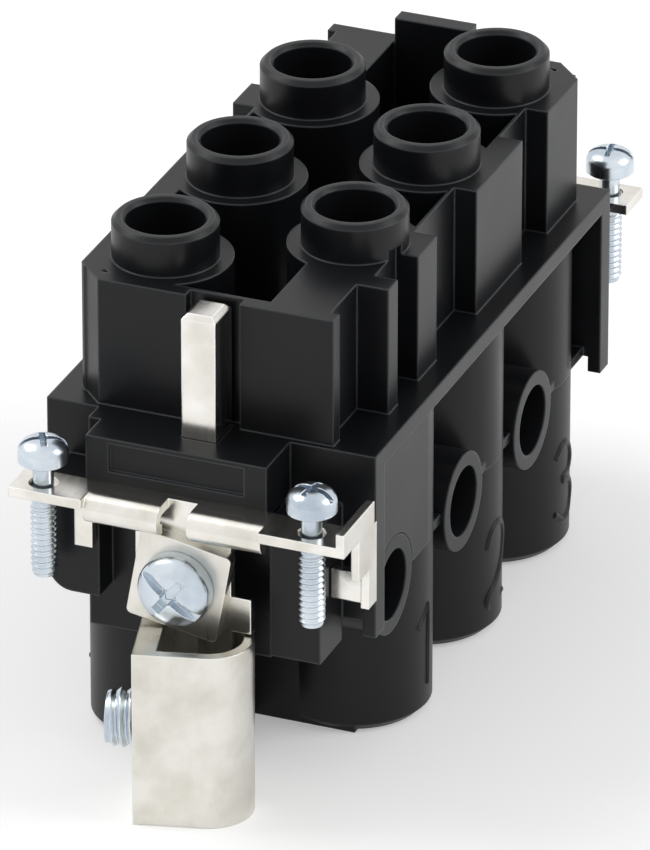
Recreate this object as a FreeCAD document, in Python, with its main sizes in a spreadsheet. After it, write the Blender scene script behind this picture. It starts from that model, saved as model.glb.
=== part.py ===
"""Six-pole heavy duty power connector insert with earth terminals, as a parametric document.

Millimetres. Z is up along the contacts, X runs across the insert and Y along it.
The origin is on the resting surface, under the centre of the four fixing screws.
The end with the earth conductor clamp faces -Y.
"""
import FreeCAD, Part
import os
import Sketcher

os.makedirs("parts", exist_ok=True)
doc = FreeCAD.newDocument("power_connector")

# Driving dimensions
sheet = doc.addObject("Spreadsheet::Sheet", "dims")
SIZES = [
    ("screw_span_x", 27.0), ("screw_span_y", 77.5),
    ("contact_pitch", 18.26), ("row_spacing", 15.4),
    ("pod_radius", 7.45), ("pod_edge_round", 0.8), ("joint_level", 18.0),
    ("wire_entry_radius", 4.0), ("wire_entry_flare", 0.9),
    ("contact_bore_radius", 4.9), ("contact_seat_level", 7.0),
    ("housing_core_width", 21.0), ("housing_core_length", 56.0),
    ("tunnel_radius", 3.5), ("tunnel_collar_wall", 1.4), ("tunnel_face", 15.2),
    ("collar_clearance", 0.1),
    ("skirt_height", 15.7), ("flange_thickness", 1.7), ("flange_width", 33.2), ("flange_length", 61.2),
    ("carrier_core_width", 22.0), ("carrier_core_length", 57.0),
    ("post_width", 1.3), ("post_drop", 1.6), ("side_wall_thickness", 2.2),
    ("block_height", 13.0), ("block_width", 28.8), ("block_length", 60.0), ("block_corner", 2.0),
    ("outer_wall", 2.6), ("end_wall", 1.6), ("well_floor", 3.0),
    ("shoulder_radius", 6.45), ("land_width", 10.2),
    ("cap_height", 4.0), ("cap_radius", 5.1), ("cap_edge", 0.45), ("socket_bore_radius", 3.78),
    ("bore_mouth", 0.35),
    ("groove_depth", 2.3), ("groove_one", 19.7), ("panel_one", 14.5), ("groove_two", 9.8),
    ("panel_two", 0.5), ("groove_three", 12.4), ("panel_three", 19.2),
    ("corner_depth", 3.2), ("corner_reach", 22.0), ("corner_land", 6.0), ("panel_lip", 0.9),
    ("rib_height", 2.6), ("rib_width", 7.8), ("rib_thickness", 1.8), ("rib_offset", 1.1),
    ("nose_reach", 5.8), ("nose_height", 5.4), ("nose_width", 18.2), ("nose_offset", 1.1),
    ("label_recess", 0.35), ("label_width", 13.6), ("label_height", 2.9),
    ("apron_thickness", 2.3), ("apron_width", 18.4), ("apron_drop", 4.4),
    ("leg_width", 5.0), ("leg_drop", 2.4), ("leg_inset", 3.4), ("foot_setback", 0.4),
    ("lug_inset", 2.3), ("lug_width", 5.2), ("lug_lift", 0.4), ("lug_round", 2.4),
    ("ledge_inset", 0.4), ("ledge_thickness", 0.9),
    ("sheet_thickness", 1.0), ("arm_depth", 4.4), ("arm_rise", 0.9), ("arm_end_margin", 0.4),
    ("wing_drop", 5.2), ("wing_rise", 1.4), ("wing_slope", 4.6), ("wing_rear", 2.6), ("wing_gap", 0.1),
    ("wing_sheet", 0.8),
    ("claw_height", 3.0), ("claw_width", 3.3), ("claw_stand", 2.0), ("claw_lift", 3.6),
    ("tab_inset", 5.6), ("tab_width", 1.8), ("tab_drop", 4.8),
    ("lip_radius", 1.5), ("lip_inner", 1.5), ("lip_width", 7.4), ("lip_setback", 2.0), ("arm_gap", 3.0),
    ("plate_width", 9.6), ("plate_foot_height", 3.6), ("plate_foot_reach", 3.6),
    ("tongue_width", 3.4), ("tongue_low", 4.0),
    ("blade_width", 3.4), ("blade_depth", 4.0), ("blade_height", 12.8), ("blade_edge", 0.5),
    ("blade_clearance", 0.1), ("blade_stand", 2.9), ("blade_foot", 1.2),
    ("blade_groove", 1.2), ("blade_relief", 0.9),
    ("screw_head_radius", 2.4), ("screw_head_height", 2.4), ("screw_lift", 3.2),
    ("screw_thread_radius", 1.3), ("screw_length", 11.8), ("screw_neck_radius", 1.0),
    ("screw_neck_length", 3.9), ("screw_slot_width", 0.6),
    ("screw_slot_depth", 0.9), ("screw_clearance", 0.1),
    ("earth_head_radius", 3.6), ("earth_head_height", 2.6), ("earth_thread_radius", 1.95),
    ("earth_screw_length", 4.6), ("earth_slot_width", 0.9), ("earth_slot_depth", 1.2),
    ("washer_side", 9.2), ("washer_thickness", 1.2), ("washer_turn", 10.0), ("washer_round", 0.5),
    ("clamp_radius", 4.3), ("clamp_flat", 6.7), ("clamp_wall", 1.0), ("clamp_height", 18.0),
    ("clamp_turn", 15.0), ("clamp_side_wall", 2.2), ("clamp_offset", 3.2), ("clamp_hang", 2.6),
    ("sleeve_clearance", 0.2),
    ("clamp_screw_radius", 2.9), ("clamp_screw_reach", 2.9), ("clamp_screw_length", 5.6),
    ("clamp_screw_level", 9.0), ("clamp_screw_hex", 1.5),
    ("contact_front_radius", 3.68), ("contact_recess", 6.0), ("pin_radius", 3.0),
    ("pin_depth", 14.0), ("pin_vent_radius", 0.6),
    ("contact_rear_radius", 4.8), ("contact_collar_radius", 5.3), ("contact_collar_height", 2.0),
    ("contact_collar_level", 23.0), ("contact_neck_level", 27.5), ("wire_radius", 3.3),
    ("wire_depth", 14.5), ("finger_slot", 0.6), ("finger_length", 11.0),
    ("terminal_screw_radius", 2.7), ("terminal_screw_length", 3.5), ("terminal_screw_start", 1.2),
    ("terminal_hex", 1.3), ("fit_gap", 0.05),
]
for row, (alias, value) in enumerate(SIZES, start=1):
    sheet.set(f"A{row}", alias)
    sheet.set(f"B{row}", str(value))
    sheet.setAlias(f"B{row}", alias)
doc.recompute()
SIZE = dict(SIZES)


def formula(text):
    """Writes the sheet's name in front of each alias in a plain formula."""
    out = ""
    word = ""
    for sign in text + " ":
        if sign.isalpha() or sign == "_" or (word and sign.isdigit()):
            word += sign
            continue
        out += f"dims.{word}" if word in SIZE else word
        out += sign
        word = ""
    return out.strip()


# Levels and places that several pieces share, as formulas over the sheet
FLANGE_UNDER = "(joint_level + skirt_height)"
FLANGE_TOP = f"({FLANGE_UNDER} + flange_thickness)"
SHOULDER = f"({FLANGE_TOP} + block_height)"
TOP = f"({SHOULDER} + cap_height)"
END = "(flange_length / 2)"
NOSE_FACE = f"({END} + nose_reach)"
NOSE_UNDER = f"({FLANGE_TOP} - nose_height)"
ARM_TOP = f"({NOSE_UNDER} + arm_rise)"
ARM_UNDER = f"({ARM_TOP} - sheet_thickness)"
SIDE = "(flange_width / 2)"
FOOT_FACE = f"(foot_setback - {NOSE_FACE})"
EARTH_LEVEL = "(clamp_height + washer_side / 2)"
PLATE_UNDER = "(clamp_height + sleeve_clearance)"
PLATE_FRONT = f"({NOSE_FACE} + sheet_thickness)"
CAPTIVE_UNDER = f"({NOSE_UNDER} + screw_lift)"
BLADE_FRONT = f"({END} + blade_stand)"
CLAMP_CENTRE = f"({NOSE_FACE} + clamp_hang)"

# Each contact: name, side of the insert (-1 is the -X row) and place along Y in pitches
CONTACTS = []
for index in range(3):
    CONTACTS.append((index + 1, 1, f"{index - 0.75} * contact_pitch"))
    CONTACTS.append((index + 4, -1, f"{index - 1.25} * contact_pitch"))
CONTACTS.sort()


def bind(target, prop, text):
    target.setExpression(prop, formula(text))


def place(item, x="0", y="0", z="0"):
    for axis, text in (("x", x), ("y", y), ("z", z)):
        bind(item, f"Placement.Base.{axis}", text)
    return item


def box(name, x, y, z):
    """A box between two bounds on each axis, each bound a formula."""
    item = doc.addObject("Part::Box", name)
    bind(item, "Length", f"({x[1]}) - ({x[0]})")
    bind(item, "Width", f"({y[1]}) - ({y[0]})")
    bind(item, "Height", f"({z[1]}) - ({z[0]})")
    return place(item, x[0], y[0], z[0])


def rod(name, radius, x, y, z, axis="z"):
    """A cylinder. The bounds of its own axis are a pair, the other two are centre lines."""
    item = doc.addObject("Part::Cylinder", name)
    bind(item, "Radius", radius)
    low, high = {"x": x, "y": y, "z": z}[axis]
    bind(item, "Height", f"({high}) - ({low})")
    if axis == "x":
        place(item, low, y, z)
        item.Placement.Rotation = FreeCAD.Rotation(FreeCAD.Vector(0, 1, 0), 90)
    elif axis == "y":
        place(item, x, low, z)
        item.Placement.Rotation = FreeCAD.Rotation(FreeCAD.Vector(1, 0, 0), -90)
    else:
        place(item, x, y, low)
    return item


def cone(name, lower, upper, x, y, z):
    item = doc.addObject("Part::Cone", name)
    bind(item, "Radius1", lower)
    bind(item, "Radius2", upper)
    bind(item, "Height", f"({z[1]}) - ({z[0]})")
    return place(item, x, y, z[0])


def fuse(name, items):
    item = doc.addObject("Part::MultiFuse", name)
    item.Shapes = items
    item.Refine = True
    return item


def cut(name, base, tools):
    item = doc.addObject("Part::Cut", name)
    item.Base = base
    item.Tool = tools[0] if len(tools) == 1 else fuse(f"{name}_tools", tools)
    item.Refine = True
    return item


def common(name, one, other):
    item = doc.addObject("Part::MultiCommon", name)
    item.Shapes = [one, other]
    return item


def half_turn(name, source):
    """The same shape turned half round the upright axis of the insert."""
    item = doc.addObject("Part::Feature", name)
    doc.recompute()
    item.Shape = source.Shape.rotated(FreeCAD.Vector(0, 0, 0), FreeCAD.Vector(0, 0, 1), 180)
    return item


def contact_x(side):
    return f"({side} * row_spacing / 2)"


def ends(maker):
    """Makes a shape for the -Y end and the same turned half round for the +Y end."""
    front = maker()
    return [front, half_turn(f"{front.Name}_rear", front)]


# Lower housing: six pods with wire entries, and collars round the driver tunnels
def terminal_housing():
    solids = [box("housing_core", ("-housing_core_width / 2", "housing_core_width / 2"),
                  ("-housing_core_length / 2 + pod_radius", "housing_core_length / 2 - pod_radius"),
                  ("0", "joint_level"))]
    hollows = []
    for number, side, y in CONTACTS:
        x = contact_x(side)
        pod = rod(f"pod_{number}", "pod_radius", x, y, ("pod_edge_round", "joint_level"))
        foot = cone(f"pod_foot_{number}", "pod_radius - pod_edge_round", "pod_radius", x, y,
                    ("0", "pod_edge_round"))
        link = box(f"pod_link_{number}", sorted_pair(side, "0", "row_spacing / 2"),
                   (f"{y} - pod_radius * 0.8", f"{y} + pod_radius * 0.8"),
                   ("0", "joint_level"))
        solids += [pod, foot, link]
        collar_x = sorted_pair(-side, "row_spacing / 4", "tunnel_face")
        solids.append(rod(f"collar_{number}", "tunnel_radius + tunnel_collar_wall",
                          collar_x, y, "joint_level", "x"))
        hollows.append(rod(f"tunnel_{number}", "tunnel_radius",
                           sorted_pair(-side, "-1 * row_spacing / 2", "tunnel_face + 1"),
                           y, "joint_level", "x"))
        hollows.append(rod(f"entry_{number}", "wire_entry_radius", x, y, ("-1", "contact_seat_level + 1")))
        hollows.append(cone(f"flare_{number}", "wire_entry_radius + wire_entry_flare",
                            "wire_entry_radius", x, y, ("0", "wire_entry_flare")))
        hollows.append(rod(f"seat_{number}", "contact_bore_radius", x, y,
                           ("contact_seat_level", "joint_level + tunnel_radius + 2")))
    return cut("terminal_housing", fuse("housing_solids", solids), hollows)


def sorted_pair(side, near, far):
    """Bounds from a near to a far distance on one side of the middle plane."""
    return (near, far) if side > 0 else (f"-({far})", f"-({near})")


# Upper contact carrier
def carrier_skirt():
    """Six fluted walls under the flange, with flat stretches beside the first collars."""
    z = ("joint_level", FLANGE_UNDER)
    solids = [box("carrier_core", ("-carrier_core_width / 2", "carrier_core_width / 2"),
                  ("-carrier_core_length / 2 + 2", "carrier_core_length / 2 - 2"), z),
              box("joint_ledge", ("ledge_inset - tunnel_face", "tunnel_face - ledge_inset"),
                  (f"-{END}", END), ("joint_level", "joint_level + ledge_thickness"))]
    for number, side, y in CONTACTS:
        solids.append(rod(f"flute_{number}", "pod_radius", contact_x(side), y, z))

    def flat_side():
        return box("flat_side", ("tunnel_face - side_wall_thickness", "tunnel_face"),
                   (f"-{END}", "-0.75 * contact_pitch"), z)

    def post():
        return fuse("posts", [
            box(f"post_{side}", sorted_pair(side, f"{SIDE} - post_width", SIDE),
                (f"-{END}", f"-{END} + side_wall_thickness"),
                ("joint_level - post_drop", FLANGE_UNDER)) for side in (-1, 1)])

    def end_wall():
        return box("skirt_end", (f"-{SIDE}", SIDE),
                   (f"-{END}", f"-{END} + side_wall_thickness"), z)
    for maker in (flat_side, post, end_wall):
        solids += ends(maker)
    return solids


def carrier_end():
    """Nose, apron, leg and lug at the -Y end."""
    nose = box("nose", ("-nose_width / 2 - nose_offset", "nose_width / 2 - nose_offset"),
               (f"-{NOSE_FACE}", f"-{END}"), (NOSE_UNDER, FLANGE_TOP))
    label = box("label", ("-label_width / 2 - nose_offset", "label_width / 2 - nose_offset"),
                (f"-{NOSE_FACE} - 1", f"-{NOSE_FACE} + label_recess"),
                (f"{FLANGE_TOP} - label_height - 0.5", f"{FLANGE_TOP} - 0.5"))
    apron_low = "joint_level - apron_drop"
    apron = box("apron", ("-apron_width / 2 - 2 * nose_offset", "apron_width / 2 - 2 * nose_offset"),
                (f"-{END} - apron_thickness", f"-{END}"), (apron_low, FLANGE_TOP))
    leg = box("leg", (f"{SIDE} - leg_inset - leg_width", f"{SIDE} - leg_inset"),
              (FOOT_FACE, f"-{END}"), ("joint_level - leg_drop", NOSE_UNDER))
    lug_side = f"-{SIDE} + lug_inset"
    lug_x = (lug_side, f"{lug_side} + lug_width")
    lug = fuse("lug", [
        box("lug_upper", lug_x, (FOOT_FACE, f"-{END}"),
            ("joint_level + lug_lift + lug_round", NOSE_UNDER)),
        box("lug_lower", (f"{lug_side} + lug_round", f"{lug_side} + lug_width"), (FOOT_FACE, f"-{END}"),
            ("joint_level + lug_lift", NOSE_UNDER)),
        rod("lug_corner", "lug_round", f"{lug_side} + lug_round", (FOOT_FACE, f"-{END}"),
            "joint_level + lug_lift + lug_round", "y")])
    return cut("carrier_end", fuse("end_solids", [nose, apron, leg, lug]), [label])


def carrier_block():
    """Walls, shoulders and lands above the flange."""
    z = (FLANGE_TOP, SHOULDER)
    half_x = "block_width / 2"
    half_y = "block_length / 2"
    outer = box("block_outer", (f"-{half_x}", half_x), (f"-{half_y}", half_y), z)
    chamfers = []
    for side_x in (-1, 1):
        for side_y in (-1, 1):
            corner = box(f"corner_{side_x}_{side_y}".replace("-", "m"),
                         ("-block_corner", "block_corner"), ("-block_corner", "block_corner"), z)
            corner.Placement.Rotation = FreeCAD.Rotation(FreeCAD.Vector(0, 0, 1), 45)
            bind(corner, "Placement.Base.x", f"{side_x} * block_width / 2")
            bind(corner, "Placement.Base.y", f"{side_y} * block_length / 2 - block_corner * 1.41421")
            chamfers.append(corner)
    well = box("well", (f"-{half_x} + outer_wall", f"{half_x} - outer_wall"),
               (f"-{half_y} + end_wall", f"{half_y} - end_wall"),
               (f"{FLANGE_TOP} - well_floor", f"{SHOULDER} + 1"))
    walls = cut("block_walls", outer, chamfers)
    solids = []
    for number, side, y in CONTACTS:
        x = contact_x(side)
        column_z = (f"{FLANGE_TOP} - well_floor", SHOULDER)
        solids.append(rod(f"shoulder_{number}", "shoulder_radius", x, y, column_z))
        solids.append(box(f"land_{number}", sorted_pair(side, "row_spacing / 2", f"{half_x} - 0.5"),
                          (f"{y} - land_width / 2", f"{y} + land_width / 2"), column_z))
        solids.append(rod(f"cap_{number}", "cap_radius", x, y, (SHOULDER, f"{TOP} - cap_edge")))
        solids.append(cone(f"cap_lip_{number}", "cap_radius", "cap_radius - cap_edge", x, y,
                           (f"{TOP} - cap_edge", TOP)))
    return walls, well, solids


def side_notches():
    """Upright grooves and the open front corner of the +X side."""
    depth = ("block_width / 2 - groove_depth", "block_width / 2 + 1")
    z = (FLANGE_TOP, f"{SHOULDER} + 1")
    return fuse("side_notches", [
        box("groove_one_way", depth, ("-groove_one", "-panel_one"), z),
        box("groove_two_way", depth, ("-groove_two", "panel_two"), z),
        box("groove_three_way", depth, ("groove_three", "panel_three"), z),
        box("corner_way", ("block_width / 2 - corner_depth + panel_lip", "block_width / 2 + 1"),
            ("-block_length / 2 - 1", "-corner_reach"), z),
        box("corner_pocket", ("block_width / 2 - corner_depth", "block_width / 2 + 1"),
            ("-block_length / 2 + end_wall", "-corner_reach"), z)])


def corner_land():
    """Solid ground between the first tower, the front panel and the open corner."""
    return box("corner_land_solid", ("block_width / 2 - corner_depth - corner_land", "block_width / 2"),
               ("-block_length / 2", "-panel_one - 1"), (f"{FLANGE_TOP} - well_floor", SHOULDER))


def contact_carrier():
    flange = box("flange", (f"-{SIDE}", SIDE), (f"-{END}", END), (FLANGE_UNDER, FLANGE_TOP))
    walls, well, columns = carrier_block()
    lower = fuse("carrier_lower", carrier_skirt() + [flange] + ends(carrier_end))
    shell = cut("carrier_shell", fuse("carrier_raised", [lower, walls]), [well])
    rib = box("rear_rib", ("-rib_width / 2 - rib_offset", "rib_width / 2 - rib_offset"),
              ("block_length / 2 - rib_thickness", "block_length / 2"),
              (FLANGE_TOP, f"{SHOULDER} + rib_height"))
    solid = fuse("carrier_solid", [shell, rib] + columns + ends(corner_land))
    hollows = []
    for number, side, y in CONTACTS:
        x = contact_x(side)
        hollows.append(rod(f"socket_{number}", "socket_bore_radius", x, y, ("joint_level", f"{TOP} + 1")))
        hollows.append(cone(f"mouth_{number}", "socket_bore_radius", "socket_bore_radius + bore_mouth",
                            x, y, (f"{TOP} - bore_mouth", TOP)))
        hollows.append(rod(f"neck_{number}", "contact_rear_radius + fit_gap", x, y,
                           ("joint_level", "contact_neck_level")))
        hollows.append(rod(f"collar_seat_{number}", "contact_collar_radius + fit_gap", x, y,
                           ("joint_level - 1", "contact_collar_level + contact_collar_height")))
        notch_x = sorted_pair(-side, "row_spacing / 4 - 0.5", "tunnel_face + 1")
        hollows.append(rod(f"notch_{number}", "tunnel_radius + tunnel_collar_wall + collar_clearance",
                           notch_x, y, "joint_level", "x"))
        hollows.append(rod(f"driver_way_{number}", "tunnel_radius",
                           sorted_pair(-side, "-1 * row_spacing / 2", "row_spacing / 2"),
                           y, "joint_level", "x"))
    hollows += ends(blade_slot) + ends(side_notches)
    return cut("contact_carrier", solid, hollows)


def blade_slot():
    """The way of the earth blade through the nose, and the relief in the wall behind it."""
    wide = "blade_width / 2 + blade_clearance"
    foot = box("blade_foot_way", (f"-({wide})", wide),
               (f"-{NOSE_FACE} - 1", f"-{BLADE_FRONT} + blade_depth"),
               (f"{NOSE_UNDER} - blade_foot - blade_clearance", f"{NOSE_UNDER} + blade_clearance"))
    through = box("blade_way", (f"-({wide})", wide),
                  (f"-{BLADE_FRONT} - blade_clearance", f"-{BLADE_FRONT} + blade_depth + blade_clearance"),
                  (f"{NOSE_UNDER} - blade_foot - blade_clearance", f"{SHOULDER} + 1"))
    relief = box("blade_relief_way", (f"-({wide}) - blade_relief", f"{wide} + blade_relief"),
                 ("-block_length / 2 - 1", "-block_length / 2 + blade_groove"),
                 (FLANGE_TOP, f"{SHOULDER} + 1"))
    return fuse("blade_slot", [foot, through, relief])


# Earth bracket: one folded strip with two screw arms, side wings, claws and a tongue
def earth_bracket():
    arm_z = (ARM_UNDER, ARM_TOP)
    arm_face = f"-{NOSE_FACE} - arm_depth"
    lip_y = f"{arm_face} + lip_setback"
    lip_end = "lip_inner + lip_width"
    across = (f"{ARM_UNDER} - 1", f"{ARM_TOP} + 1")
    arms = cut("arms", box("arm_strip", (f"arm_end_margin - {SIDE}", f"{SIDE} + arm_end_margin"),
                           (arm_face, f"-{NOSE_FACE}"), arm_z),
               [box("arm_step", (f"-({lip_end})", lip_end), (f"{arm_face} - 1", lip_y), across)])
    solids = [arms]
    hollows = [box("arm_gap_way", ("-arm_gap / 2", "arm_gap / 2"), (f"{arm_face} - 1", f"-{PLATE_FRONT}"),
                   across)]
    for side in (-1, 1):
        tag = "left" if side < 0 else "right"
        lip_x = sorted_pair(side, "lip_inner", lip_end)
        lip_z = f"{ARM_TOP} - lip_radius"
        roll = cut(f"lip_{tag}", rod(f"lip_outer_{tag}", "lip_radius", lip_x, lip_y, lip_z, "x"),
                   [rod(f"lip_hollow_{tag}", "lip_radius - sheet_thickness", lip_x, lip_y, lip_z, "x"),
                    box(f"lip_back_{tag}", lip_x, (lip_y, f"{lip_y} + lip_radius"),
                        (f"{lip_z} - lip_radius", f"{lip_z} + lip_radius"))])
        solids.append(roll)
        hollows.append(rod(f"screw_way_{tag}", "screw_thread_radius + fit_gap", f"{side} * screw_span_x / 2",
                           "-screw_span_y / 2", across))
    wing_x = (f"{SIDE} + wing_gap", f"{SIDE} + wing_gap + wing_sheet")
    solids.append(box("wing", wing_x, (arm_face, f"-{END} - wing_rear"),
                      (f"{ARM_TOP} - wing_drop", f"{ARM_TOP} + wing_rise")))
    trim = box("wing_trim", (f"{SIDE} - 1", f"{SIDE} + 3"), ("-12", "0"), ("0", "8"))
    trim.Placement.Rotation = FreeCAD.Rotation(FreeCAD.Vector(1, 0, 0), 24)
    bind(trim, "Placement.Base.y", f"-{END} - wing_slope")
    bind(trim, "Placement.Base.z", f"{ARM_TOP} + wing_rise")
    hollows.append(trim)
    hollows.append(box("wing_under", (f"{SIDE} - 1", f"{SIDE} + 3"), (f"{arm_face} - 1", f"-{NOSE_FACE} - 0.6"),
                       (f"{ARM_TOP} - wing_drop - 1", ARM_UNDER)))
    claw_y = (f"-{END} - claw_stand - sheet_thickness", f"-{END} - claw_stand")
    solids.append(box("claw", (f"{SIDE} - claw_width", f"{SIDE} + wing_gap + wing_sheet"), claw_y,
                      ("joint_level + claw_lift", "joint_level + claw_lift + claw_height")))
    solids.append(box("claw_neck", wing_x, (f"{claw_y[0]} - sheet_thickness", claw_y[1]),
                      ("joint_level + claw_lift", ARM_UNDER)))
    plate_y = (f"-{PLATE_FRONT}", f"-{NOSE_FACE}")
    solids.append(box("tab", (f"-{SIDE} + tab_inset", f"-{SIDE} + tab_inset + tab_width"), plate_y,
                      (f"{NOSE_UNDER} - tab_drop - sheet_thickness", ARM_TOP)))
    solids.append(box("plate", ("-plate_width / 2", "plate_width / 2"), plate_y, (PLATE_UNDER, ARM_TOP)))
    solids.append(box("plate_foot", ("0", "clamp_offset + plate_foot_reach"), plate_y,
                      (PLATE_UNDER, f"{PLATE_UNDER} + plate_foot_height")))
    solids.append(box("tongue", ("clamp_offset - tongue_width / 2", "clamp_offset + tongue_width / 2"),
                      plate_y, ("tongue_low", PLATE_UNDER)))
    hollows.append(rod("earth_way", "earth_thread_radius + fit_gap", "0",
                       (f"-{PLATE_FRONT} - 1", f"-{NOSE_FACE} + 1"), EARTH_LEVEL, "y"))
    return cut("bracket", fuse("bracket_solids", solids), hollows)


def earth_blade():
    """An upright contact blade with chamfered top, and a foot that reaches the bracket."""
    x = ("-blade_width / 2", "blade_width / 2")
    y = (f"-{BLADE_FRONT}", f"-{BLADE_FRONT} + blade_depth")
    bar = box("blade_bar", x, y, (f"{NOSE_UNDER} - blade_foot", f"{FLANGE_TOP} + blade_height"))
    top = doc.addObject("Part::Chamfer", "blade_top")
    doc.recompute()
    top.Base = bar
    edges = [index + 1 for index, edge in enumerate(bar.Shape.Edges)
             if all(abs(vertex.Z - bar.Shape.BoundBox.ZMax) < 1e-6 for vertex in edge.Vertexes)]
    top.Edges = [(index, SIZE["blade_edge"], SIZE["blade_edge"]) for index in edges]
    foot = box("blade_foot_bar", x, (f"-{NOSE_FACE}", f"-{BLADE_FRONT}"),
               (f"{NOSE_UNDER} - blade_foot", NOSE_UNDER))
    return fuse("blade", [top, foot])


def domed_head(name, radius, height):
    """A screw head on the Z axis, its underside at zero."""
    rim = rod(f"{name}_rim", radius, "0", "0", ("0", height))
    ball = doc.addObject("Part::Sphere", f"{name}_ball")
    dome = f"({height} * 0.45)"
    curve = f"({radius} * {radius} + {dome} * {dome}) / (2 * {dome})"
    bind(ball, "Radius", curve)
    bind(ball, "Placement.Base.z", f"{height} - {curve}")
    return common(f"{name}_head", rim, ball)


def captive_screw():
    """A slotted screw whose thin neck lets it hang loose in the earth bracket."""
    slot = box("captive_slot", ("-screw_head_radius - 1", "screw_head_radius + 1"),
               ("-screw_slot_width / 2", "screw_slot_width / 2"),
               ("screw_head_height - screw_slot_depth", "screw_head_height + 1"))
    body = fuse("captive_body", [
        domed_head("captive", "screw_head_radius", "screw_head_height"),
        rod("captive_neck", "screw_neck_radius", "0", "0", ("-screw_neck_length", "0")),
        rod("captive_thread", "screw_thread_radius", "0", "0", ("-screw_length", "-screw_neck_length"))])
    return cut("captive_screw", body, [slot])


def earth_screw():
    """The screw of the earth terminal, with a cross recess."""
    body = fuse("earth_body", [
        domed_head("earth", "earth_head_radius", "earth_head_height"),
        rod("earth_thread", "earth_thread_radius", "0", "0", ("-earth_screw_length", "0"))])
    ways = [box("earth_slot_one", ("-earth_head_radius * 0.55", "earth_head_radius * 0.55"),
                ("-earth_slot_width / 2", "earth_slot_width / 2"),
                ("earth_head_height - earth_slot_depth", "earth_head_height + 1")),
            box("earth_slot_two", ("-earth_slot_width / 2", "earth_slot_width / 2"),
                ("-earth_head_radius * 0.55", "earth_head_radius * 0.55"),
                ("earth_head_height - earth_slot_depth", "earth_head_height + 1"))]
    return cut("earth_screw_shape", body, ways)


def attach(body, sketch, role):
    plane = [item for item in body.Origin.OriginFeatures if item.Role == role][0]
    sketch.AttachmentSupport = [(plane, "")]
    sketch.MapMode = "FlatFace"


def tie(sketch, kind, places, text):
    """Adds a dimension to a sketch and binds it to the sheet."""
    index = sketch.addConstraint(Sketcher.Constraint(kind, *places, 1.0))
    sketch.setExpression(f"Constraints[{index}]", formula(text))


def turned(name, profile):
    """A turned body: the profile is a closed run of radius and height formulas."""
    body = doc.addObject("PartDesign::Body", name)
    sketch = body.newObject("Sketcher::SketchObject", f"{name}_profile")
    attach(body, sketch, "XZ_Plane")
    points = [FreeCAD.Vector(value(radius), value(height), 0) for radius, height in profile]
    count = len(points)
    for index in range(count):
        sketch.addGeometry(Part.LineSegment(points[index], points[(index + 1) % count]))
    for index in range(count):
        sketch.addConstraint(Sketcher.Constraint("Coincident", index, 2, (index + 1) % count, 1))
    for index, (radius, height) in enumerate(profile):
        at = sketch.addConstraint(Sketcher.Constraint("DistanceX", -1, 1, index, 1, points[index].x))
        sketch.setExpression(f"Constraints[{at}]", formula(radius))
        at = sketch.addConstraint(Sketcher.Constraint("DistanceY", -1, 1, index, 1, points[index].y))
        sketch.setExpression(f"Constraints[{at}]", formula(height))
    spin = body.newObject("PartDesign::Revolution", f"{name}_turning")
    spin.Profile = sketch
    spin.ReferenceAxis = (sketch, ["V_Axis"])
    spin.Angle = 360.0
    body.Tip = spin
    return body


def value(text):
    """The number that a formula has now."""
    return float(sheet.evalExpression(formula(text)))


def socket_contact(number, side):
    """A turned socket with spring fingers, a locating collar and a wire barrel."""
    mouth = f"({TOP} - contact_recess)"
    collar = "contact_collar_level"
    pin = "pin_radius"
    profile = [
        ("wire_radius", "contact_seat_level"), ("contact_rear_radius", "contact_seat_level"),
        ("contact_rear_radius", collar), ("contact_collar_radius", collar),
        ("contact_collar_radius", f"{collar} + contact_collar_height"),
        ("contact_rear_radius", f"{collar} + contact_collar_height"),
        ("contact_rear_radius", "contact_neck_level"), ("contact_front_radius", "contact_neck_level"),
        ("contact_front_radius", mouth), (pin, mouth), (pin, f"{mouth} - pin_depth"),
        ("pin_vent_radius", f"{mouth} - pin_depth"), ("pin_vent_radius", "contact_seat_level + wire_depth"),
        ("wire_radius", "contact_seat_level + wire_depth")]
    body = turned(f"contact_turned_{number}", profile)
    slots = []
    for tag, angle in (("a", 45), ("b", 135)):
        slot = box(f"finger_{tag}_{number}", ("-contact_rear_radius", "contact_rear_radius"),
                   ("-finger_slot / 2", "finger_slot / 2"), (f"{mouth} - finger_length", f"{mouth} + 1"))
        doc.recompute()
        turned_slot = doc.addObject("Part::Feature", f"finger_turned_{tag}_{number}")
        turned_slot.Shape = slot.Shape.rotated(FreeCAD.Vector(0, 0, 0), FreeCAD.Vector(0, 0, 1), angle)
        slots.append(turned_slot)
    hole = rod(f"clamp_hole_{number}", "terminal_screw_radius + fit_gap",
               sorted_pair(-side, "0", "contact_rear_radius + 1"), "0", "joint_level", "x")
    return cut(f"contact_{number}", body, slots + [hole])


def terminal_screw(number, side):
    """A set screw with a hexagon socket that looks down the driver tunnel."""
    start = "terminal_screw_start"
    finish = "terminal_screw_start + terminal_screw_length"
    thread = rod(f"set_screw_{number}", "terminal_screw_radius", sorted_pair(-side, start, finish),
                 "0", "joint_level", "x")
    key = doc.addObject("Part::Prism", f"set_key_{number}")
    key.Polygon = 6
    bind(key, "Circumradius", "terminal_hex")
    bind(key, "Height", "terminal_screw_length / 2")
    key.Placement.Rotation = FreeCAD.Rotation(FreeCAD.Vector(0, 1, 0), 90 * side)
    bind(key, "Placement.Base.x", f"{-side} * ({finish})")
    bind(key, "Placement.Base.z", "joint_level")
    return cut(f"set_screw_cut_{number}", thread, [key])


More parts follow.
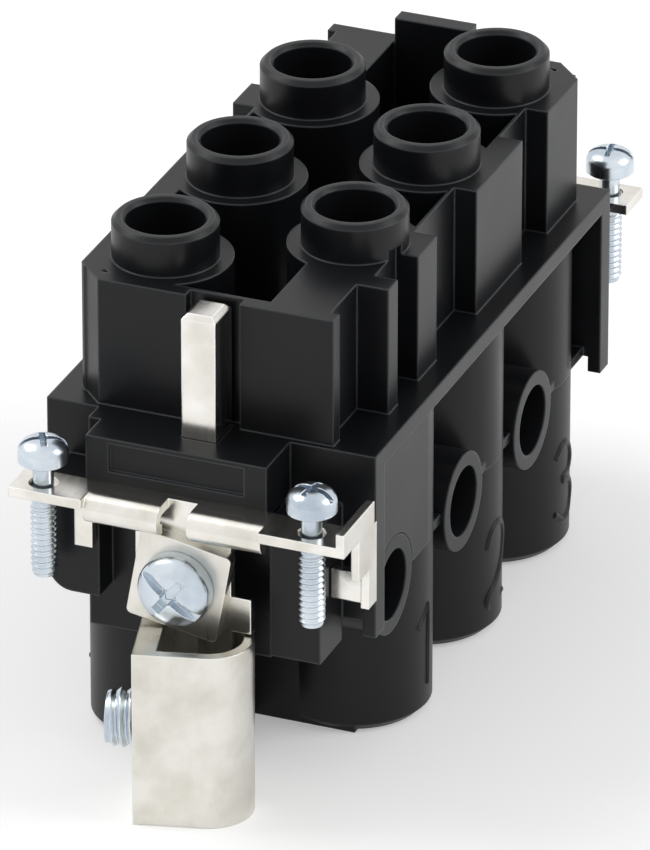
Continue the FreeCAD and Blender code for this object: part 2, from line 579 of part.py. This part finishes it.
def square_washer():
    """A square clamp washer on the XZ plane, its back at zero."""
    body = doc.addObject("PartDesign::Body", "washer_body")
    sketch = body.newObject("Sketcher::SketchObject", "washer_outline")
    attach(body, sketch, "XY_Plane")
    half = SIZE["washer_side"] / 2
    corners = [(-half, -half), (half, -half), (half, half), (-half, half)]
    for index in range(4):
        start = FreeCAD.Vector(*corners[index], 0)
        finish = FreeCAD.Vector(*corners[(index + 1) % 4], 0)
        sketch.addGeometry(Part.LineSegment(start, finish))
    for index in range(4):
        sketch.addConstraint(Sketcher.Constraint("Coincident", index, 2, (index + 1) % 4, 1))
    for index in (0, 2):
        sketch.addConstraint(Sketcher.Constraint("Horizontal", index))
    for index in (1, 3):
        sketch.addConstraint(Sketcher.Constraint("Vertical", index))
    sketch.addConstraint(Sketcher.Constraint("Symmetric", 0, 1, 1, 2, -1, 1))
    tie(sketch, "DistanceX", (0, 1, 0, 2), "washer_side")
    tie(sketch, "DistanceY", (1, 1, 1, 2), "washer_side")
    hole = sketch.addGeometry(Part.Circle(FreeCAD.Vector(0, 0, 0), FreeCAD.Vector(0, 0, 1), 2.0))
    sketch.addConstraint(Sketcher.Constraint("Coincident", hole, 3, -1, 1))
    tie(sketch, "Radius", (hole,), "earth_thread_radius + screw_clearance")
    pad = body.newObject("PartDesign::Pad", "washer_pad")
    pad.Profile = sketch
    bind(pad, "Length", "washer_thickness")
    doc.recompute()
    rounding = body.newObject("PartDesign::Fillet", "washer_corners")
    upright = [f"Edge{index + 1}" for index, edge in enumerate(pad.Shape.Edges)
               if edge.Curve.TypeId == "Part::GeomLine" and abs(edge.tangentAt(edge.FirstParameter).z) > 0.9]
    rounding.Base = (pad, upright)
    bind(rounding, "Radius", "washer_round")
    body.Tip = rounding
    return body


def clamp_outline(name, radius, flat):
    """A D-shaped outline: flat on -X, half round on +X."""
    block = box(f"{name}_block", (f"-({flat})", "0"), (f"-({radius})", radius), ("0", "clamp_height"))
    round_side = rod(f"{name}_round", radius, "0", "0", ("0", "clamp_height"))
    return fuse(name, [block, round_side])


def clamp_sleeve():
    outer = clamp_outline("clamp_outer", "clamp_radius", "clamp_flat")
    inner = clamp_outline("clamp_inner", "clamp_radius - clamp_wall", "clamp_flat - clamp_side_wall")
    hole = rod("clamp_screw_way", "clamp_screw_radius + fit_gap", ("-clamp_flat - 1", "0"), "0",
               "clamp_screw_level", "x")
    return cut("clamp_sleeve", outer, [inner, hole])


def clamp_screw():
    start = "-clamp_flat - clamp_screw_reach"
    thread = rod("clamp_thread", "clamp_screw_radius", (start, f"{start} + clamp_screw_length"), "0",
                 "clamp_screw_level", "x")
    key = doc.addObject("Part::Prism", "clamp_key")
    key.Polygon = 6
    bind(key, "Circumradius", "clamp_screw_hex")
    bind(key, "Height", "clamp_screw_length / 2")
    key.Placement.Rotation = FreeCAD.Rotation(FreeCAD.Vector(0, 1, 0), 90)
    bind(key, "Placement.Base.x", start)
    bind(key, "Placement.Base.z", "clamp_screw_level")
    return cut("clamp_screw_shape", thread, [key])


# The finished nodes, each at its place in the insert
nodes = {}


def value_vector(x, y, z):
    return FreeCAD.Vector(value(x), value(y), value(z))


def node(name, source, rotation=None, x="0", y="0", z="0", flip=False):
    """Stands a shape at its place under its own name, turned half round for the +Y end."""
    doc.recompute()
    shape = source.Shape.copy()
    if shape.ShapeType == "Compound" and len(shape.Solids) == 1:
        shape = shape.Solids[0]
    item = doc.addObject("Part::Feature", name)
    item.Label = name
    item.Shape = shape
    spot = FreeCAD.Placement(value_vector(x, y, z), rotation or FreeCAD.Rotation())
    if flip:
        spot = FreeCAD.Placement(FreeCAD.Vector(), FreeCAD.Rotation(FreeCAD.Vector(0, 0, 1), 180)) * spot
    item.Placement = spot * item.Placement
    nodes[name] = item


node("terminal_housing", terminal_housing())
node("contact_carrier", contact_carrier())
for number, side, y in CONTACTS:
    node(f"socket_contact_{number}", socket_contact(number, side), x=contact_x(side), y=y)
    node(f"terminal_screw_{number}", terminal_screw(number, side), x=contact_x(side), y=y)

bracket = earth_bracket()
blade = earth_blade()
washer = square_washer()
earth = earth_screw()
facing = FreeCAD.Rotation(FreeCAD.Vector(1, 0, 0), 90)
washer_spin = FreeCAD.Rotation(FreeCAD.Vector(0, 1, 0), SIZE["washer_turn"])
for end, flip in (("front", False), ("rear", True)):
    node(f"earth_bracket_{end}", bracket, flip=flip)
    node(f"earth_blade_{end}", blade, flip=flip)
    node(f"earth_washer_{end}", washer, washer_spin * facing, y=f"-{PLATE_FRONT}", z=EARTH_LEVEL, flip=flip)
    node(f"earth_screw_{end}", earth, washer_spin * facing,
         y=f"-{PLATE_FRONT} - washer_thickness", z=EARTH_LEVEL, flip=flip)

clamp_turn = FreeCAD.Rotation(FreeCAD.Vector(0, 0, 1), SIZE["clamp_turn"])
node("earth_clamp_sleeve", clamp_sleeve(), clamp_turn, x="clamp_offset", y=f"-{CLAMP_CENTRE}")
node("earth_clamp_screw", clamp_screw(), clamp_turn, x="clamp_offset", y=f"-{CLAMP_CENTRE}")

captive = captive_screw()
for name, side_x, side_y in (("front_left", -1, -1), ("front_right", 1, -1),
                             ("rear_left", -1, 1), ("rear_right", 1, 1)):
    node(f"fixing_screw_{name}", captive, x=f"{side_x} * screw_span_x / 2",
         y=f"{side_y} * screw_span_y / 2", z=CAPTIVE_UNDER)

doc.recompute()
for item in doc.Objects:
    if "Invalid" in item.State or "Error" in item.State:
        raise RuntimeError(f"{item.Name} failed: {item.State}")
for name, item in nodes.items():
    if item.Shape.isNull() or not item.Shape.isValid():
        raise RuntimeError(f"{name} has no valid shape")
    print(name, len(item.Shape.Solids), round(item.Shape.Volume, 2))
for name, item in nodes.items():
    item.Shape.exportStep(f"parts/{name}.step")
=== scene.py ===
"""Looks of a six-pole heavy duty power connector insert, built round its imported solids.

Lengths are written in millimetres and turned to metres where a mesh is made.
Z is up along the contacts, and the end with the earth conductor clamp faces -Y.
"""
import math

import bpy
from mathutils import Matrix, Vector


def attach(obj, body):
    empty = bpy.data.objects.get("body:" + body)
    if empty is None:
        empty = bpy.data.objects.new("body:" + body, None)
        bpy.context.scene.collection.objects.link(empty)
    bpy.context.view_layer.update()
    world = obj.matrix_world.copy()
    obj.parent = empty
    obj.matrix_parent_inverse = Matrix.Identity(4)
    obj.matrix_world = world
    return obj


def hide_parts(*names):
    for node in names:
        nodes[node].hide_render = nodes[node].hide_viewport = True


MM = 0.001

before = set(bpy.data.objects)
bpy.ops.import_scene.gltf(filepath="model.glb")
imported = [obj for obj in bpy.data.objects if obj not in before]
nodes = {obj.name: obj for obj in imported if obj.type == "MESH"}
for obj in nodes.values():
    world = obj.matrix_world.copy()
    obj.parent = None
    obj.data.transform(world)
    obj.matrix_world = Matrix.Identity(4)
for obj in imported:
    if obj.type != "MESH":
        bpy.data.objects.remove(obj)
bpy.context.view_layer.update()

# Places and sizes of the insert
CONTACT_PITCH = 18.26
ROW_X = 7.7
POD_RADIUS = 7.45
SCREW_X = 13.5
SCREW_Y = 38.75
SCREW_UNDER = 33.2
EARTH_LEVEL = 22.6
EARTH_FACE = 38.6
CLAMP_X = 3.2
CLAMP_Y = -39.0
CLAMP_TURN = math.radians(15)
CLAMP_SCREW_LEVEL = 9.0

# Fasteners: head, thread, driver slot and, for a captive screw, the thin neck under its head
CAPTIVE_SCREW = {"head": 2.4, "height": 2.4, "crown": 1.3, "thread": 1.3, "length": 11.8, "pitch": 0.6,
                 "cross": 0.32, "neck": (1.0, 3.9)}
EARTH_SCREW = {"head": 3.6, "height": 2.6, "crown": 1.5, "thread": 1.95, "length": 4.6, "pitch": 0.8,
               "cross": 0.5}
EARTH_SCREW_ANGLE = -38
DRIVER_ANGLES = {"front_left": 28, "front_right": -12, "rear_left": 64, "rear_right": 8}
SET_SCREW_RADIUS = 2.9
SET_SCREW_LENGTH = 5.6
SET_SCREW_TIP = 4.0
SET_SCREW_PITCH = 0.95
SET_SCREW_DEPTH = 0.42
SET_SCREW_HEX = 1.45
SET_SCREW_HEX_FLOOR = 3.2

# Numbers on the pods
DIGIT_TALL = 8.4
DIGIT_WIDE = 7.4
DIGIT_LOW = 2.9
DIGIT_STROKE = 0.42
DIGIT_SINK = 0.2

# Camera, solved from the photograph: direction, distance, shift in its own plane and lens
CAMERA_AZIMUTH = 22.04
CAMERA_ELEVATION = 27.19
CAMERA_DISTANCE = 1097
CAMERA_SHIFT = (-0.82, -12.49)
CAMERA_AIM = (0, 0, 35.1)
LENS_IN_PIXELS = 11499
PICTURE_HEIGHT = 850


# Materials

def shade(code):
    """An sRGB hex colour as linear red, green, blue and alpha."""
    parts = [int(code[i:i + 2], 16) / 255 for i in (1, 3, 5)]
    linear = [p / 12.92 if p <= 0.04045 else ((p + 0.055) / 1.055) ** 2.4 for p in parts]
    return (*linear, 1.0)


def add(tree, kind, settings, links=()):
    """Adds a node, sets its sockets and properties, and links its inputs."""
    node = tree.nodes.new(kind)
    for key, value in settings.items():
        if isinstance(key, int) or key in node.inputs:
            node.inputs[key].default_value = value
        else:
            setattr(node, key, value)
    for key, source in dict(links).items():
        tree.links.new(source, node.inputs[key])
    return node


def new_finish(name):
    material = bpy.data.materials.new(name)
    material.use_nodes = True
    material.node_tree.nodes.clear()
    return material, material.node_tree


def rounded_edge(tree, radius, sharp, soft):
    """The rounded normal of the edges, and a mask that is 1 along them, which lays a painted highlight there.
    """
    rounded = add(tree, "ShaderNodeBevel", {"samples": 6, "Radius": radius * MM})
    plain = add(tree, "ShaderNodeNewGeometry", {})
    agree = add(tree, "ShaderNodeVectorMath", {"operation": "DOT_PRODUCT"},
                {0: rounded.outputs[0], 1: plain.outputs["Normal"]})
    painted_highlight_mask = add(tree, "ShaderNodeMapRange",
               {"From Min": soft, "From Max": sharp, "To Min": 1.0, "To Max": 0.0},
               {"Value": agree.outputs["Value"]})
    return rounded.outputs[0], painted_highlight_mask.outputs[0]


def moulded_polyamide(name, body, flow, edge_highlight_colour, matt):
    """Glass-filled polyamide, injection moulded: a satin black with a fine spark-eroded grain,
    faint flow clouds, and a painted highlight along its rounded edges."""
    material, tree = new_finish(name)
    place = add(tree, "ShaderNodeTexCoord", {})
    # Spark-eroded grain of about 0.1 mm, drawn at 0.35 mm so that it shows
    grain = add(tree, "ShaderNodeTexNoise", {"Scale": 1 / (0.35 * MM), "Detail": 3.0, "Roughness": 0.6},
                {"Vector": place.outputs["Object"]})
    # Flow clouds about 9 mm across
    clouds = add(tree, "ShaderNodeTexNoise", {"Scale": 1 / (9 * MM), "Detail": 2.0},
                 {"Vector": place.outputs["Object"]})
    rounded, painted_highlight_mask = rounded_edge(tree, 0.3, 0.995, 0.87)
    cloudy = add(tree, "ShaderNodeMix", {"data_type": "RGBA", 6: shade(body), 7: shade(flow)},
                 {0: clouds.outputs["Fac"]})
    # Painted highlight: a lighter colour is mixed in along the rounded edges
    with_edge_highlight = add(tree, "ShaderNodeMix", {"data_type": "RGBA", 7: shade(edge_highlight_colour)},
                {0: painted_highlight_mask, 6: cloudy.outputs[2]})
    dull = add(tree, "ShaderNodeMapRange", {"To Min": matt - 0.06, "To Max": matt + 0.08},
               {"Value": clouds.outputs["Fac"]})
    bump = add(tree, "ShaderNodeBump", {"Strength": 0.16, "Distance": 0.05 * MM},
               {"Height": grain.outputs["Fac"], "Normal": rounded})
    surface = add(tree, "ShaderNodeBsdfPrincipled", {"IOR": 1.53, "Specular IOR Level": 0.26},
                  {"Base Color": with_edge_highlight.outputs[2], "Roughness": dull.outputs[0], "Normal": bump.outputs[0]})
    add(tree, "ShaderNodeOutputMaterial", {}, {"Surface": surface.outputs[0]})
    return material


def plated_metal(name, bright, tarnish, edge_highlight_colour, rough, streak, radius):
    """A thin bright plating over rolled or turned metal: fine rolling lines, cloudy brightness
    and a painted highlight along its rounded edges."""
    material, tree = new_finish(name)
    place = add(tree, "ShaderNodeTexCoord", {})
    # Rolling or turning lines, much longer than they are wide
    stretched = add(tree, "ShaderNodeMapping", {"Scale": streak}, {"Vector": place.outputs["Object"]})
    lines = add(tree, "ShaderNodeTexNoise", {"Scale": 1 / (0.5 * MM), "Detail": 4.0, "Roughness": 0.65},
                {"Vector": stretched.outputs[0]})
    # Cloudy plating, patches about 4 mm across
    clouds = add(tree, "ShaderNodeTexNoise", {"Scale": 1 / (4 * MM), "Detail": 3.0, "Roughness": 0.55},
                 {"Vector": place.outputs["Object"]})
    rounded, painted_highlight_mask = rounded_edge(tree, radius, 0.998, 0.9)
    patches = add(tree, "ShaderNodeMapRange", {"From Min": 0.35, "From Max": 0.7},
                  {"Value": clouds.outputs["Fac"]})
    cloudy = add(tree, "ShaderNodeMix", {"data_type": "RGBA", 6: shade(bright), 7: shade(tarnish)},
                 {0: patches.outputs[0]})
    # Painted highlight: a near-white colour is mixed in along the rounded edges
    with_edge_highlight = add(tree, "ShaderNodeMix", {"data_type": "RGBA", 7: shade(edge_highlight_colour)},
                {0: painted_highlight_mask, 6: cloudy.outputs[2]})
    dull = add(tree, "ShaderNodeMapRange", {"To Min": rough - 0.05, "To Max": rough + 0.1},
               {"Value": lines.outputs["Fac"]})
    bump = add(tree, "ShaderNodeBump", {"Strength": 0.12, "Distance": 0.03 * MM},
               {"Height": lines.outputs["Fac"], "Normal": rounded})
    surface = add(tree, "ShaderNodeBsdfPrincipled", {"Metallic": 1.0},
                  {"Base Color": with_edge_highlight.outputs[2], "Roughness": dull.outputs[0], "Normal": bump.outputs[0]})
    add(tree, "ShaderNodeOutputMaterial", {}, {"Surface": surface.outputs[0]})
    return material


# The fourth colour of each finish below is a painted highlight along its rounded edges
black_carrier = moulded_polyamide("moulded_black_polyamide_carrier", "#0e0f11", "#151619", "#4a4e52", 0.34)
black_housing = moulded_polyamide("moulded_black_polyamide_housing", "#0f1012", "#17181b", "#3e4246", 0.38)
nickel_sheet = plated_metal("bright_nickel_on_folded_brass_sheet", "#eeece6", "#d9d6cc", "#fdfcf9",
                            0.20, (1.0, 0.08, 1.0), 0.18)
nickel_bar = plated_metal("bright_nickel_on_drawn_brass_bar", "#f0eee9", "#dddad1", "#ffffff",
                          0.16, (1.0, 1.0, 0.06), 0.25)
nickel_sleeve = plated_metal("satin_nickel_on_extruded_brass_sleeve", "#e3e1da", "#cfccc2", "#f6f5f0",
                             0.27, (1.0, 1.0, 0.08), 0.2)
zinc_screw = plated_metal("bright_zinc_on_cold_headed_steel", "#d9e1e8", "#b4c0cc", "#f4f8fb",
                          0.22, (1.0, 1.0, 0.3), 0.12)
silver_contact = plated_metal("silver_plate_on_turned_brass", "#e4e1d8", "#c0bcb0", "#f4f2ec",
                              0.24, (0.3, 0.3, 1.0), 0.1)
FINISHES = {"terminal_housing": black_housing, "contact_carrier": black_carrier,
            "socket_contact": silver_contact, "earth_bracket": nickel_sheet, "earth_blade": nickel_bar,
            "earth_clamp_sleeve": nickel_sleeve, "earth_washer": nickel_sleeve}
for name, item in nodes.items():
    finish = next((made for start, made in FINISHES.items() if name.startswith(start)), zinc_screw)
    item.data.materials.clear()
    item.data.materials.append(finish)


# Fasteners with threads and driver recesses

def piece(name, points, faces, finish, spot=Matrix.Identity(4)):
    """A mesh piece from points in millimetres, stood at its place."""
    mesh = bpy.data.meshes.new(name)
    mesh.from_pydata([spot @ Vector(p) * MM for p in points], [], faces)
    mesh.validate()
    mesh.update()
    item = bpy.data.objects.new(name, mesh)
    bpy.context.scene.collection.objects.link(item)
    mesh.materials.append(finish)
    return item


def turned_rings(rings, steps):
    """Points and faces of a closed turned form from rings of radius functions."""
    points = []
    for height, radius_at in rings:
        for step in range(steps):
            angle = 2 * math.pi * step / steps
            radius = radius_at(angle)
            points.append((radius * math.cos(angle), radius * math.sin(angle), height))
    faces = []
    for ring in range(len(rings) - 1):
        for step in range(steps):
            after = (step + 1) % steps
            faces.append((ring * steps + step, ring * steps + after,
                          (ring + 1) * steps + after, (ring + 1) * steps + step))
    faces.append(tuple(reversed(range(steps))))
    last = (len(rings) - 1) * steps
    faces.append(tuple(last + step for step in range(steps)))
    return points, faces


def thread_rings(radius, depth, pitch, low, high, cuts=6):
    """Rings of a helical thread whose crest reaches the radius, running out at both ends."""
    count = max(2, round((high - low) / pitch * cuts))
    rings = []
    for index in range(count + 1):
        height = low + (high - low) * index / count
        fade = min(1.0, (height - low) / pitch, (high - height) / pitch)

        def radius_at(angle, height=height, fade=fade):
            phase = (height / pitch - angle / (2 * math.pi)) % 1
            return radius - depth + depth * fade * (1 - abs(2 * phase - 1))
        rings.append((height, radius_at))
    return rings


def domed_rings(radius, height, crown, curve=7):
    """Rings of a screw head with a rounded rim and a domed top, its underside at zero."""
    shoulder = height - crown
    rings = [(0.0, radius - 0.15), (0.12, radius), (shoulder, radius)]
    for index in range(1, curve + 1):
        angle = math.pi / 2 * index / curve
        rings.append((shoulder + crown * math.sin(angle), radius * (0.28 + 0.72 * math.cos(angle))))
    return [(level, lambda angle, size=size: size) for level, size in rings]


def block(low, high, spot):
    """A cutting block between two corners."""
    points = [(x, y, z) for x in (low[0], high[0]) for y in (low[1], high[1]) for z in (low[2], high[2])]
    faces = [(0, 1, 3, 2), (4, 6, 7, 5), (0, 4, 5, 1), (2, 3, 7, 6), (0, 2, 6, 4), (1, 5, 7, 3)]
    return piece("cutting_block", points, faces, zinc_screw, spot)


def carve(item, cutters):
    """Cuts blocks out of a piece and removes them."""
    for cutter in cutters:
        tool = item.modifiers.new("recess", "BOOLEAN")
        tool.operation = "DIFFERENCE"
        tool.solver = "EXACT"
        tool.object = cutter
    bpy.context.view_layer.update()
    shaped = bpy.data.meshes.new_from_object(item.evaluated_get(bpy.context.evaluated_depsgraph_get()))
    item.modifiers.clear()
    item.data = shaped
    for cutter in cutters:
        bpy.data.objects.remove(cutter)
    return item


def weld(name, parts, finish):
    """One piece from several, which are removed."""
    points, faces = [], []
    for part in parts:
        start = len(points)
        points += [tuple(v.co / MM) for v in part.data.vertices]
        faces += [tuple(start + v for v in polygon.vertices) for polygon in part.data.polygons]
        bpy.data.objects.remove(part)
    item = piece(name, points, faces, finish)
    item.data.shade_smooth()
    item.data.set_sharp_from_angle(angle=math.radians(32))
    return item


def slotted_screw(name, node, spot, head, height, crown, thread, length, pitch, cross, neck=None):
    """A domed screw with a driver slot, and a cross recess over it. A captive one has a thin neck."""
    top = piece("head", *turned_rings(domed_rings(head, height, crown), 40), zinc_screw, spot)
    wide = head * 0.62
    cutters = [block((-head - 1, -cross, height * 0.62), (head + 1, cross, height + 1), spot)]
    cutters.append(block((-cross * 0.9, -wide, height * 0.5), (cross * 0.9, wide, height + 1), spot))
    cutters.append(block((-cross * 1.7, -cross * 1.7, height * 0.45), (cross * 1.7, cross * 1.7, height + 1),
                         spot @ Matrix.Rotation(math.radians(45), 4, "Z")))
    carve(top, cutters)
    start = -neck[1] if neck else 0.3
    shank = piece("shank", *turned_rings(thread_rings(thread, thread * 0.2, pitch, -length, start), 32),
                  zinc_screw, spot)
    parts = [top, shank]
    if neck:
        waist = [(-neck[1] - 0.5, lambda angle: neck[0]), (0.3, lambda angle: neck[0])]
        parts.append(piece("neck", *turned_rings(waist, 32), zinc_screw, spot))
    item = weld(name, parts, zinc_screw)
    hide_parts(node)
    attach(item, "root")
    return item


def at(x, y, z):
    return Matrix.Translation((x, y, z))


def spin(degrees, axis):
    return Matrix.Rotation(math.radians(degrees), 4, axis)


for place, angle in DRIVER_ANGLES.items():
    side_x = 1 if place.endswith("right") else -1
    side_y = 1 if place.startswith("rear") else -1
    spot = at(side_x * SCREW_X, side_y * SCREW_Y, SCREW_UNDER) @ spin(angle, "Z")
    slotted_screw(f"captive_screw_{place}", f"fixing_screw_{place}", spot, **CAPTIVE_SCREW)

for end, flip in (("front", 0), ("rear", math.pi)):
    spot = Matrix.Rotation(flip, 4, "Z") @ at(0, -EARTH_FACE, EARTH_LEVEL)
    spot = spot @ spin(90, "X") @ spin(EARTH_SCREW_ANGLE, "Z")
    slotted_screw(f"earth_terminal_screw_{end}", f"earth_screw_{end}", spot, **EARTH_SCREW)


def clamp_set_screw():
    """The set screw that clamps the earth conductor, threaded to its end, with a hexagon socket."""
    spot = at(CLAMP_X, CLAMP_Y, CLAMP_SCREW_LEVEL) @ Matrix.Rotation(CLAMP_TURN, 4, "Z")
    spot = spot @ at(-SET_SCREW_TIP, 0, 0) @ spin(-90, "Y")
    rings = thread_rings(SET_SCREW_RADIUS, SET_SCREW_DEPTH, SET_SCREW_PITCH, 0.0, SET_SCREW_LENGTH, 8)
    body = piece("body", *turned_rings(rings, 40), zinc_screw, spot)
    hexagon = [(level, lambda angle: SET_SCREW_HEX)
               for level in (SET_SCREW_HEX_FLOOR, SET_SCREW_LENGTH + 1)]
    key = piece("key", *turned_rings(hexagon, 6), zinc_screw, spot)
    carve(body, [key])
    item = weld("earth_clamp_set_screw", [body], zinc_screw)
    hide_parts("earth_clamp_screw")
    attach(item, "root")


clamp_set_screw()


# Contact numbers, moulded proud on the outside of the pods

STROKES = {
    1: ([(0.04, 0.78), (0.30, 1.0), (0.30, 0.0)], "VECTOR"),
    2: ([(0.02, 0.74), (0.14, 0.95), (0.34, 1.0), (0.53, 0.86), (0.52, 0.62), (0.30, 0.30), (0.03, 0.02),
         (0.56, 0.02)], "AUTO"),
    3: ([(0.03, 0.86), (0.24, 1.0), (0.48, 0.86), (0.44, 0.62), (0.22, 0.54), (0.48, 0.44), (0.54, 0.20),
         (0.28, 0.0), (0.02, 0.14)], "AUTO"),
    4: ([(0.42, 0.0), (0.42, 1.0), (0.0, 0.30), (0.58, 0.30)], "VECTOR"),
    5: ([(0.50, 1.0), (0.10, 1.0), (0.06, 0.56), (0.30, 0.62), (0.54, 0.34), (0.30, 0.0),
         (0.02, 0.14)], "AUTO"),
    6: ([(0.48, 0.92), (0.28, 1.0), (0.06, 0.66), (0.04, 0.28), (0.28, 0.0), (0.52, 0.26), (0.30, 0.54),
         (0.07, 0.36)], "AUTO"),
}


def contact_number(number, side, y):
    """A digit drawn on the pod's outer face, read upright from that side."""
    strokes, handle = STROKES[number]
    line = bpy.data.curves.new(f"contact_number_{number}", "CURVE")
    line.dimensions = "3D"
    line.bevel_depth = DIGIT_STROKE * MM
    line.bevel_resolution = 2
    line.resolution_u = 6
    line.use_fill_caps = True
    spline = line.splines.new("BEZIER")
    spline.bezier_points.add(len(strokes) - 1)
    for point, (across, up) in zip(spline.bezier_points, strokes):
        angle = (across - 0.29) * DIGIT_WIDE / POD_RADIUS
        reach = POD_RADIUS - DIGIT_SINK
        point.co = Vector((side * (ROW_X + reach * math.cos(angle)),
                           y + side * reach * math.sin(angle), DIGIT_LOW + DIGIT_TALL * up)) * MM
        point.handle_left_type = handle
        point.handle_right_type = handle
    line.materials.append(black_housing)
    item = bpy.data.objects.new(f"contact_number_{number}", line)
    bpy.context.scene.collection.objects.link(item)
    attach(item, "root")


for index in range(3):
    contact_number(index + 1, 1, (index - 0.75) * CONTACT_PITCH)
    contact_number(index + 4, -1, (index - 1.25) * CONTACT_PITCH)


# White table, studio light and camera

def white_table():
    mesh = bpy.data.meshes.new("white_table")
    reach, level = 3, -0.05 * MM
    corners = [(-reach, -reach, level), (reach, -reach, level), (reach, reach, level), (-reach, reach, level)]
    mesh.from_pydata(corners, [], [(0, 1, 2, 3)])
    table = bpy.data.objects.new("white_table", mesh)
    bpy.context.scene.collection.objects.link(table)
    material, tree = new_finish("matt_white_paper")
    paths = add(tree, "ShaderNodeLightPath", {})
    seen = add(tree, "ShaderNodeMath", {"operation": "MAXIMUM"},
               {0: paths.outputs["Is Camera Ray"], 1: paths.outputs["Is Glossy Ray"]})
    lift = add(tree, "ShaderNodeMath", {"operation": "MULTIPLY", 1: 0.3}, {0: seen.outputs[0]})
    paper = add(tree, "ShaderNodeBsdfDiffuse", {"Color": shade("#f6f6f6")})
    glow = add(tree, "ShaderNodeEmission", {"Color": shade("#ffffff")}, {"Strength": lift.outputs[0]})
    both = add(tree, "ShaderNodeAddShader", {}, {0: paper.outputs[0], 1: glow.outputs[0]})
    add(tree, "ShaderNodeOutputMaterial", {}, {"Surface": both.outputs[0]})
    mesh.materials.append(material)


def studio_world():
    """An even pale surround that the camera, metal and glass see as white."""
    world = bpy.data.worlds.new("studio")
    bpy.context.scene.world = world
    world.use_nodes = True
    tree = world.node_tree
    tree.nodes.clear()
    paths = add(tree, "ShaderNodeLightPath", {})
    mirror = add(tree, "ShaderNodeMath", {"operation": "MAXIMUM"},
                 {0: paths.outputs["Is Glossy Ray"], 1: paths.outputs["Is Transmission Ray"]})
    seen = add(tree, "ShaderNodeMath", {"operation": "MAXIMUM"},
               {0: paths.outputs["Is Camera Ray"], 1: mirror.outputs[0]})
    level = add(tree, "ShaderNodeMapRange", {"To Min": 0.5, "To Max": 1.0}, {"Value": seen.outputs[0]})
    sky = add(tree, "ShaderNodeBackground", {"Color": shade("#ffffff")}, {"Strength": level.outputs[0]})
    add(tree, "ShaderNodeOutputWorld", {}, {"Surface": sky.outputs[0]})


def softbox(name, place, target, size, power):
    """A square studio lamp that looks at a point."""
    lamp = bpy.data.lights.new(name, "AREA")
    lamp.shape = "SQUARE"
    lamp.size = size
    lamp.energy = power
    item = bpy.data.objects.new(name, lamp)
    item.location = place
    item.rotation_euler = (Vector(target) - Vector(place)).to_track_quat("-Z", "Y").to_euler()
    bpy.context.scene.collection.objects.link(item)


def photo_camera():
    """The photograph's viewpoint, a long lens from above the clamp end."""
    azimuth, elevation = math.radians(CAMERA_AZIMUTH), math.radians(CAMERA_ELEVATION)
    back = Vector((math.sin(azimuth) * math.cos(elevation), -math.cos(azimuth) * math.cos(elevation),
                   math.sin(elevation)))
    right = Vector((math.cos(azimuth), math.sin(azimuth), 0))
    up = back.cross(right)
    camera = bpy.data.objects.new("photo_camera", bpy.data.cameras.new("photo_camera"))
    camera.data.sensor_fit = "VERTICAL"
    camera.data.sensor_height = 36
    camera.data.lens = LENS_IN_PIXELS * camera.data.sensor_height / PICTURE_HEIGHT
    camera.data.clip_start = 0.1
    camera.data.clip_end = 20
    shift = right * CAMERA_SHIFT[0] + up * CAMERA_SHIFT[1]
    camera.location = (back * CAMERA_DISTANCE + shift + Vector(CAMERA_AIM)) * MM
    camera.rotation_mode = "QUATERNION"
    camera.rotation_quaternion = back.to_track_quat("Z", "Y")
    bpy.context.scene.collection.objects.link(camera)
    bpy.context.scene.camera = camera


white_table()
studio_world()
softbox("softbox_left", (-0.62, -0.05, 0.75), (0, 0, 0.02), 0.5, 3.0)
softbox("softbox_right", (0.72, 0.2, 0.5), (0, 0, 0.02), 0.5, 2.2)
photo_camera()
bpy.context.scene.view_settings.view_transform = "Standard"
